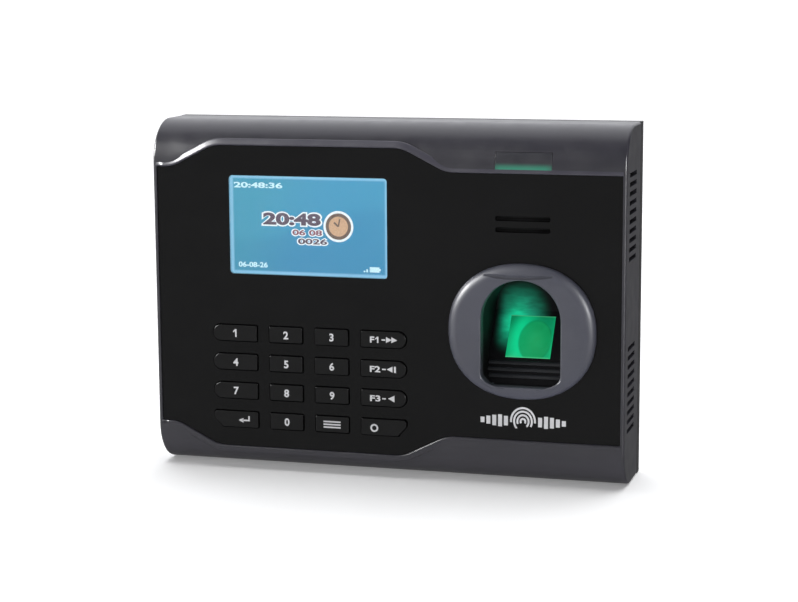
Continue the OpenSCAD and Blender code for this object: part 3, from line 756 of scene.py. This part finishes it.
# Node, width of its rounded edges and number of segments across them
CASE_PIECES = (
    ("front_panel", 0.28, 2),
    ("rear_cover", 0.45, 2),
    ("screen_window", 0.15, 2),
    ("indicator_lens", 0.12, 2),
    ("usb_door", 0.22, 2),
    ("wall_plate", 0.22, 2),
    ("lock_screw", 0.15, 2),
    ("case_screws", 0.15, 2),
    ("tamper_button", 0.4, 3),
    ("network_jack", 0.12, 2),
    ("usb_socket", 0.1, 2),
    ("terminal_block", 0.15, 2),
    ("power_jack", 0.15, 2),
)


def near_slots(edge):
    """Edges of the end walls round the cooling slots and the service door."""
    return all(abs(v.co.x) > 0.0935 and abs(v.co.z) < 0.0645 for v in edge.verts)


def round_ends(bm):
    """Rounds the outer edges of the two ends of the frame, apart from its rear edge and its slots."""
    low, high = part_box("front_frame")
    seam = [v for v in bm.verts if abs(v.co.x) > 0.094 and 0.0530 < abs(v.co.z) < 0.0548
            and depth_of(v.co.y) < 0.6]
    bmesh.ops.remove_doubles(bm, verts=seam, dist=0.00045)
    picked = []
    for edge in bm.edges:
        ends = [v.co for v in edge.verts]
        a, b = ends
        if abs(abs(a.x) - high.x) > 2e-5 or abs(a.x - b.x) > 1e-5 or len(edge.link_faces) != 2:
            continue
        if all(abs(p.y - high.y) < 1e-5 for p in ends):
            continue
        if all(5 < depth_of(p.y) < 27 and abs(p.z) < 0.056 for p in ends):
            continue
        across = sorted(abs(f.normal.x) for f in edge.link_faces)
        if across[0] < 0.7 and across[1] > 0.99:
            picked.append(edge)
    bmesh.ops.bevel(bm, geom=picked, offset=1.0 * MM, offset_type="OFFSET", segments=4, profile=0.5,
                    affect="EDGES", clamp_overlap=False, miter_outer="ARC")


def make_case(mats):
    finished("front_frame", mats, 0.22, angle=30, keep=near_slots, shape=round_ends)
    for node, width, segments in CASE_PIECES:
        finished(node, mats, width, segments)


WAVE_X, WAVE_R, WAVE_ANGLE = -31.15, 15, math.radians(27)
WAVE_END_H, WAVE_MID_H, WAVE_FLAT, WAVE_END_X = 52.15, 61.15, 35.5, 94.9
ARC_STEPS = 12


def wave_path(low):
    """Edge of the panel's upper wave from left to right, or of its lower wave where low is true."""
    rise = WAVE_MID_H - WAVE_END_H - 2 * WAVE_R * (1 - math.cos(WAVE_ANGLE))
    slope = rise / math.sin(WAVE_ANGLE)
    foot_x = WAVE_FLAT + 2 * WAVE_R * math.sin(WAVE_ANGLE) + slope * math.cos(WAVE_ANGLE)
    arc = [(WAVE_R * math.sin(a), WAVE_R * (1 - math.cos(a)))
           for a in (WAVE_ANGLE * i / ARC_STEPS for i in range(ARC_STEPS + 1))]
    crest = [(WAVE_FLAT + along, WAVE_MID_H - drop) for along, drop in arc]
    foot = [(foot_x - along, WAVE_END_H + drop) for along, drop in reversed(arc)]
    right = crest + [between(crest[-1], foot[0], i / 4) for i in (1, 2, 3)] + foot
    mid = [(x * WAVE_FLAT / 10, WAVE_MID_H) for x in range(-9, 10, 2)]
    path = [(-x, z) for x, z in reversed(right)] + mid + right
    path = [(WAVE_X + x, z) for x, z in path]
    path = [(-WAVE_END_X, WAVE_END_H)] + path + [(WAVE_END_X, WAVE_END_H)]
    return [(x, -z) for x, z in path] if low else path


# Distance outwards from the panel's edge, and depth
RIM_SECTION = (
    (0.04, 0.5), (0.04, -0.02), (0.1, -0.2), (0.22, -0.33), (0.38, -0.4), (0.58, -0.41), (0.8, -0.35),
    (1.2, -0.17), (1.7, 0.06), (2.2, 0.31), (2.7, 0.56), (2.7, 1.2), (1.4, 1.2),
)


def make_rim(mats):
    """Rounded crest along the rim that stands up round the panel; the top crest's lighter grey is painted
    light.
    """
    n = len(RIM_SECTION)
    for name, low, look in (("rim_crest_top", False, "rim_painted_lit"), ("rim_crest_bottom", True, "rim_grey")):
        path = wave_path(low)
        outwards = -1 if low else 1
        verts = []
        for i, (x, z) in enumerate(path):
            a, b = path[max(i - 1, 0)], path[min(i + 1, len(path) - 1)]
            length = outwards * math.dist(a, b)
            nx, nz = -(b[1] - a[1]) / length, (b[0] - a[0]) / length
            verts += [(x + nx * off, d, z + nz * off) for off, d in RIM_SECTION]
        faces = []
        for base in range(0, len(verts) - n, n):
            faces += [(base + k, base + k + 1, base + n + k + 1, base + n + k) for k in range(n - 1)]
            faces.append((base + n - 1, base, base + n, base + 2 * n - 1))
        faces += [tuple(range(n)), tuple(range(len(verts) - 1, len(verts) - n - 1, -1))]
        mesh = mesh_piece(name, verts, faces)
        add_weighted(link_piece(name, mesh, "case", mats[look]))


# ---------------------------------------------------------------- fingerprint reader

BEZEL_A, BEZEL_B, BEZEL_Z, BEZEL_FRONT = 29.2, 26.6, -9.0, -3.6
ARCH_R, ARCH_TOP, ARCH_LOW, ARCH_CUT = 15.7, 11.4, -30.4, 3.6
RING = 192

# Distance inwards from the bezel's outline, and depth
BEZEL_FLANK = (
    (0.0, 0.55), (0.0, -0.7), (0.18, -1.35), (0.5, -1.95), (0.95, -2.45), (1.5, -2.85), (2.1, -3.15),
    (2.7, -3.38), (3.3, -3.52), (3.9, BEZEL_FRONT),
)
# Distance outwards from the recess, and depth
BEZEL_MOUTH = (
    (0.75, BEZEL_FRONT), (0.4, -3.52), (0.15, -3.3), (0.03, -3.0), (0.0, -2.6), (0.0, 0.8), (1.65, 0.8),
    (1.65, 4.5),
)


def oval_point(angle, inset):
    c, s = math.cos(angle), math.sin(angle)
    power = 2 / 2.2
    return (READER_X + (BEZEL_A - inset) * math.copysign(abs(c) ** power, c),
            BEZEL_Z + (BEZEL_B - inset) * math.copysign(abs(s) ** power, s))


def arch_outline(grow):
    """Opening of the finger recess, moved out by grow, with RING points spread evenly along it."""
    w, low, cut = ARCH_R + grow, ARCH_LOW - grow, ARCH_CUT + 0.4 * grow
    mid = ARCH_TOP - ARCH_R
    corners = [(w * math.cos(a), mid + w * math.sin(a)) for a in (math.pi * i / 64 for i in range(65))]
    corners += [(-w, low + cut), (cut - w, low), (w - cut, low), (w, low + cut)]
    corners = [(READER_X + x, z) for x, z in corners]
    lengths = [0]
    for a, b in zip(corners, corners[1:] + corners[:1]):
        lengths.append(lengths[-1] + math.dist(a, b))
    ring = []
    k = 0
    for i in range(RING):
        want = lengths[-1] * i / RING
        while lengths[k + 1] < want:
            k += 1
        share = (want - lengths[k]) / (lengths[k + 1] - lengths[k])
        ring.append(between(corners[k], corners[(k + 1) % len(corners)], share))
    for _ in range(4):
        ring = [tuple((ring[i - 1][k] + 2 * ring[i][k] + ring[(i + 1) % RING][k]) / 4 for k in (0, 1))
                for i in range(RING)]
    return ring


def oval_outline(inset):
    """The bezel's oval, with each point in line with the recess's own as seen from the middle."""
    ring = []
    for x, z in arch_outline(0.0):
        want = math.atan2(z - BEZEL_Z, x - READER_X)
        angle = math.atan2((z - BEZEL_Z) / BEZEL_B, (x - READER_X) / BEZEL_A)
        for _ in range(4):
            px, pz = oval_point(angle, inset)
            miss = want - math.atan2(pz - BEZEL_Z, px - READER_X)
            angle += math.atan2(math.sin(miss), math.cos(miss))
        ring.append(oval_point(angle, inset))
    return ring


def groove_outline():
    """Crescent-shaped groove above the recess."""
    top, bottom = [], []
    for i in range(33):
        t = i / 16 - 1
        x = READER_X - 1.2 + 13.8 * t
        z = 12.55 + 0.75 * t * t
        half = 0.2 + 0.55 * (1 - t * t) ** 0.7
        top.append((x, z + half))
        bottom.append((x, z - half))
    return top + bottom[::-1]


def apply_cut(obj, cutter):
    """Cuts one mesh out of another for good, and removes the cutter."""
    mod = obj.modifiers.new("cut", "BOOLEAN")
    mod.operation = "DIFFERENCE"
    mod.solver = "EXACT"
    mod.object = cutter
    bpy.context.view_layer.update()
    cut = bpy.data.meshes.new_from_object(obj.evaluated_get(bpy.context.evaluated_depsgraph_get()))
    obj.modifiers.clear()
    material = obj.data.materials[0]
    obj.data = cut
    cut.materials.clear()
    cut.materials.append(material)
    set_smooth(cut)
    for edge in cut.edges:
        edge.use_edge_sharp = False
    bpy.data.objects.remove(cutter)


def make_bezel(mats):
    """A closed loop of rings: flank, face, mouth, a pocket for the cup and a skirt."""
    rings = [(oval_outline(inset), d) for inset, d in BEZEL_FLANK]
    face_out, face_in = oval_outline(BEZEL_FLANK[-1][0]), arch_outline(BEZEL_MOUTH[0][0])
    for share in (0.25, 0.5, 0.75):
        rings.append(([between(a, b, share) for a, b in zip(face_out, face_in)], BEZEL_FRONT))
    rings += [(arch_outline(grow), d) for grow, d in BEZEL_MOUTH]
    skirt = oval_outline(3.3)
    rings += [(skirt, 4.5), (skirt, 0.55)]
    verts = [(x, d, z) for ring, d in rings for x, z in ring]
    faces = []
    for r in range(len(rings)):
        here, there = r * RING, (r + 1) % len(rings) * RING
        for i in range(RING):
            j = (i + 1) % RING
            faces.append((here + i, here + j, there + j, there + i))
    bezel = link_piece("reader_bezel", mesh_piece("reader_bezel", verts, faces), "case",
                       mats["bezel_grey"], ("sensor_bezel",))
    groove = mesh_piece("groove_cutter", *prism(groove_outline(), BEZEL_FRONT - 1, BEZEL_FRONT + 0.8))
    cutter = bpy.data.objects.new("groove_cutter", groove)
    SCENE.collection.objects.link(cutter)
    apply_cut(bezel, cutter)
    add_weighted(bezel)


def cup_material():
    """Gloss black of the finger recess, with a painted green glow from the glass spreading over its walls.
    """
    s = glossy_black("cup_glow", (0.014, 0.014, 0.0155), 0.4, 0.08, 0.04)
    x, y, z = s.place()
    u = s.minus(x, READER_X)
    depth = s.minus(y, FRONT_Y)

    def blob(centre, radii):
        """1 near the centre, falling to 0 at the radii."""
        total = None
        for value, c, r in zip((u, depth, z), centre, radii):
            part = s.math("DIVIDE", s.minus(value, c), r)
            part = s.times(part, part)
            total = part if total is None else s.plus(total, part)
        return s.span(s.math("SQRT", total), 0.15, 1.0, 1, 0, True)

    # Painted light: the glass's green glow and its reflection in the gloss walls, given as emission on the
    # walls.
    glow_spill = blob((-5.5, 17.0, -6.5), (14.5, 19, 16.5))
    glow_streak = s.span(s.noise(5, 2, stretch=(0.7, 1, 2.2)), 0.35, 0.65, 0.62, 1)
    back = s.span(depth, 4, 15, 0.12, 1, True)
    under = s.span(z, -27, -15, 0, 1, True)
    over = s.span(z, 3, 10, 1, 0.35, True)
    right = s.span(u, 3, 10, 1, 0.1, True)
    left = s.span(u, -15.6, -11.0, 0.0, 1, True)
    glow = s.times(glow_spill, glow_streak, back, under, over, right, left)
    near = s.times(blob((-7.0, 17.0, -9.0), (8.0, 19, 13.5)), 0.9)
    hue = s.blend(near, (0.01, 0.26, 0.15), (0.006, 0.55, 0.27))
    s.set(Emission_Color=s.blend(glow, (0, 0, 0), hue), Emission_Strength=1.25)
    return s.mat


def ridge_profile(z):
    """Half-round ridge on the slope below the glass, with its foot sunk a little into it."""
    radius, lift, sunk, steps = 0.95, 0.55, 0.05, 8
    profile = []
    for i in range(steps + 1):
        a = math.pi * i / steps
        along, out = -radius * math.cos(a), lift * math.sin(a)
        d = GLASS_DEPTH + (z - GLASS_Z) * math.tan(GLASS_TILT) + along * math.sin(GLASS_TILT)
        profile.append((d - out * math.cos(GLASS_TILT) + sunk,
                        z + along * math.cos(GLASS_TILT) + out * math.sin(GLASS_TILT)))
    return profile


def make_reader(mats):
    make_bezel(mats)
    cup = finished("sensor_cup", mats, 0.25)
    cup.data.materials.clear()
    cup.data.materials.append(cup_material())
    finished("sensor_prism", mats, 0.12)
    ridges = []
    for z in (-23.0, -25.35, -27.7):
        half = ARCH_R - 0.5 - max(0, -26.8 - z) * 0.9
        ridges.append(side_prism(ridge_profile(z), READER_X - half, READER_X + half))
    tread = moulded("recess_tread", (0.02, 0.022, 0.027), 0.3, 0.3, 0.006, 0.15, 0.3, 0.6)
    obj = link_piece("recess_ridges", mesh_piece("recess_ridges", *gather(ridges)), "case",
                     tread.mat)
    add_bevel(obj, 0.12, 2, 50)
    add_weighted(obj)


# ---------------------------------------------------------------- keys

KEY_X = (-62.3, -40.75, -21.55, 0.0)
KEY_Z = (-14.6, -26.43, -38.26, -50.09)
KEY_FACE = -0.3
KEY_ROWS = (
    ("key_1", "key_2", "key_3", "key_f1"),
    ("key_4", "key_5", "key_6", "key_f2"),
    ("key_7", "key_8", "key_9", "key_f3"),
    ("key_enter", "key_0", "key_menu", "key_ok"),
)

# Signs drawn from shapes, about the middle of their key. The 1 is drawn too, alone and after the F.
SIGNS = {
    "1": [bar(0.1, -1.6, 0.75, 1.6), [(0.1, 1.6), (-0.75, 0.75), (-0.75, 0.2), (0.1, 0.75)]],
    "f1": [bar(-2.5, -1.35, -1.9, 1.15), bar(-0.6, -0.35, 0.9, 0.2), triangle(2.4, 0, 2.4, 1),
           triangle(4.6, 0, 2.4, 1), [(-2.5, 1.15), (-3.2, 0.45), (-3.2, -0.05), (-2.5, 0.45)]],
    "f2": [bar(-0.5, -0.35, 1.0, 0.2), triangle(2.6, 0, 2.4), bar(4.4, -1.25, 5.2, 1.25)],
    "f3": [bar(-0.5, -0.35, 1.0, 0.2), triangle(3.2, 0, 2.7)],
    "menu": [bar(-3.6, mid - 0.3, 3.6, mid + 0.3) for mid in (-1.15, 0, 1.15)],
    "ok": stroke(circle(-3.9, -0.35, 1.3, 24), 0.7, True),
    "enter": stroke([(5.4, 1.5), (5.4, -0.35), (2.6, -0.35)], 0.6) + [triangle(2.0, -0.35, 2.0)],
}


def key_letters(label):
    """Piece name, text, place on the key and size of a key's letters, or None if it has none."""
    if label == "f1":
        return "label_f1", "F", (-4.5, -0.1), (1.8, 2.5)
    if label in ("f2", "f3"):
        return "label_" + label, label.upper(), (-3.4, -0.1), (4.3, 2.5)
    if label.isdigit() and label != "1":
        return "digit_" + label, label, (0.15, -0.05), (None, 3.2)
    return None


def make_keys(mats):
    ink = moulded("legend_ink", (0.72, 0.72, 0.74), 0.45, 0.3, 0.004, 0.05).mat
    for names, z in zip(KEY_ROWS, KEY_Z):
        for name, x in zip(names, KEY_X):
            finished(name, mats, 0.42, 3, suffix="_cap")
            label = name.split("_")[1]
            letters = key_letters(label)
            if letters:
                piece, text, (dx, dz), size = letters
                lettering(piece, text, (x + dx, z + dz), size, KEY_FACE, 0.03, 0.03, name, ink)
            if label in SIGNS:
                printed("mark_" + label, moved(SIGNS[label], x, z), KEY_FACE - 0.03, KEY_FACE + 0.05, name,
                        ink)


# ---------------------------------------------------------------- display and printing

def lamp_ink(name, rgb):
    """Part of the lit picture: one colour, broken up by the display's fine grain."""
    s = Shader(name, Base_Color=(0.02, 0.02, 0.02), Roughness=0.3, Emission_Strength=1.0)
    return s.set(Emission_Color=s.clouded(s.noise(0.4, 2), rgb, 0.85, 1.08)).mat


def make_picture():
    """Signs on the lit display, in thin layers that stand on each other in front of its glass."""
    cx, cz = middle("lcd_panel")
    glass = depth_of(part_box("lcd_panel")[0].y)
    layer = 0.012
    pale = lamp_ink("picture_pale", (0.62, 0.9, 0.98))
    white = lamp_ink("picture_white", (0.9, 0.95, 0.97))
    dark = lamp_ink("picture_dark", (0.045, 0.012, 0.05))
    red = lamp_ink("picture_red", (0.2, 0.02, 0.06))
    tan = lamp_ink("picture_tan", (0.62, 0.36, 0.19))
    brown = lamp_ink("picture_brown", (0.10, 0.045, 0.02))

    def digits(name, text, x, z, size, ink, level, bold=0.03):
        lettering("picture_" + name, text, (cx + x, cz + z), size, glass - layer * level, layer * 0.8,
                  bold, "case", ink)

    def sign(name, shapes, ink, level):
        printed("picture_" + name, moved(shapes, cx, cz), glass - layer * (level + 1),
                glass - layer * level, "case", ink)

    digits("time", "20:48:36", -21.0, 15.9, (20.5, 2.3), pale, 0)
    digits("date", "06-08-26", -23.6, -16.1, (12.4, 2.2), pale, 0)
    battery = [bar(25.2, -17.6, 29.2, -15.5), bar(29.2, -17.0, 29.7, -16.1)]
    signal = [bar(23.8, -17.6, 24.5, -16.4), bar(22.7, -17.6, 23.4, -17.0)]
    sign("battery", battery + signal, pale, 0)
    digits("hours_back", "20:48", -7.0, 2.6, (25.6, 6.1), white, 0, 0.09)
    digits("hours", "20:48", -7.0, 2.6, (24.2, 4.9), dark, 1, 0.045)
    digits("line_back", "06 08", -0.6, -2.6, (13.4, 3.2), white, 0, 0.09)
    digits("line", "06 08", -0.6, -2.6, (12.4, 2.3), red, 1)
    digits("count_back", "0026", 1.6, -6.1, (13.2, 3.2), white, 0, 0.09)
    digits("count", "0026", 1.6, -6.1, (12.2, 2.3), dark, 1)
    x, z = 12.4, 0.2
    sign("clock_back", [circle(x, z, 6.2, 48)], white, 0)
    sign("clock_ring", stroke(circle(x, z, 4.6, 48), 1.3, True), brown, 1)
    sign("clock_face", [circle(x, z, 4.0, 48)], tan, 1)
    hands = stroke([(x, z), (x - 1.8, z + 1.6)], 0.75) + stroke([(x, z), (x + 0.6, z + 3.0)], 0.6)
    sign("clock_hands", hands, brown, 2)


def make_panel_mark():
    """A plain fingerprint sign with a row of bars on each side, where the panel carries its lettering."""
    ink = moulded("panel_ink", (0.8, 0.8, 0.82), 0.4, 0.3, 0.004, 0.05).mat
    face = depth_of(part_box("front_panel")[0].y)
    shapes = []
    for r, start, end in ((0.95, -40, 220), (2.25, -50, 205), (3.55, -30, 225), (4.8, -5, 185)):
        angles = [math.radians(start + (end - start) * i / 20) for i in range(21)]
        shapes += stroke([(r * math.cos(a), r * 1.12 * math.sin(a)) for a in angles], 0.78)
    for side in (-1, 1):
        for k in range(5):
            x = side * (6.8 + k * 2.35)
            half = (5.0 - abs(k - 1.2)) / 2
            shapes.append(bar(x - 0.8, -half, x + 0.8, half))
    printed("panel_print", moved(shapes, 56.4, -44.6), face - 0.02, face + 0.05, "case", ink)


# ---------------------------------------------------------------- connectors at the back

def make_network_contacts(mats):
    """Eight bent spring wires in the network jack."""
    low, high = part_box("network_jack")
    base, back = low.z / MM, depth_of(high.y)
    wire = [(back - 9.6, base + 11.5), (back - 9.9, base + 8.0), (back - 8.6, base + 4.0),
            (back - 7.6, base + 2.6)]
    parts = []
    for i in range(8):
        x = middle("network_jack")[0] + (i - 3.5) * 1.02
        parts += [side_prism(quad, x - 0.18, x + 0.18) for quad in stroke(wire, 0.3)]
    mesh = mesh_piece("network_contacts", *gather(parts))
    link_piece("network_contacts", mesh, "case", mats["contact_gold"])


def make_terminal_screws(mats):
    """Eight screw heads in the terminal block, each turned a little further than the last."""
    low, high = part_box("terminal_block")
    first, face, z = low.x / MM + 1.9, depth_of(high.y), -11
    parts = []
    for i in range(8):
        x = first + 3.85 * i
        parts.append(prism(circle(x, z, 1.12, 24), face - 1.1, face - 2.4))
        turn = 0.5 + 0.7 * i
        c, s = math.cos(turn), math.sin(turn)
        slot = [(x + c * a - s * b, z + s * a + c * b) for a, b in bar(-0.95, -0.16, 0.95, 0.16)]
        parts.append(prism(slot, face - 1.05, face - 1.3))
    mesh = mesh_piece("terminal_screws", *gather(parts))
    set_smooth(mesh, False)
    link_piece("terminal_screws", mesh, "case", mats["screw_steel"])


# ---------------------------------------------------------------- the rest

def carry_over(mats):
    """CAD nodes that stay as they are get their slot's material."""
    for name, obj in NODES.items():
        material = mats[SLOTS[name]]
        if not obj.material_slots:
            obj.data.materials.append(material)
        for holder in obj.material_slots:
            holder.material = material


make_camera()
make_world()
make_lights()
make_floor()
MATS = make_materials()
carry_over(MATS)
make_case(MATS)
make_rim(MATS)
make_reader(MATS)
make_keys(MATS)
make_picture()
make_panel_mark()
make_network_contacts(MATS)
make_terminal_screws(MATS)
SCENE.view_settings.view_transform = "Standard"
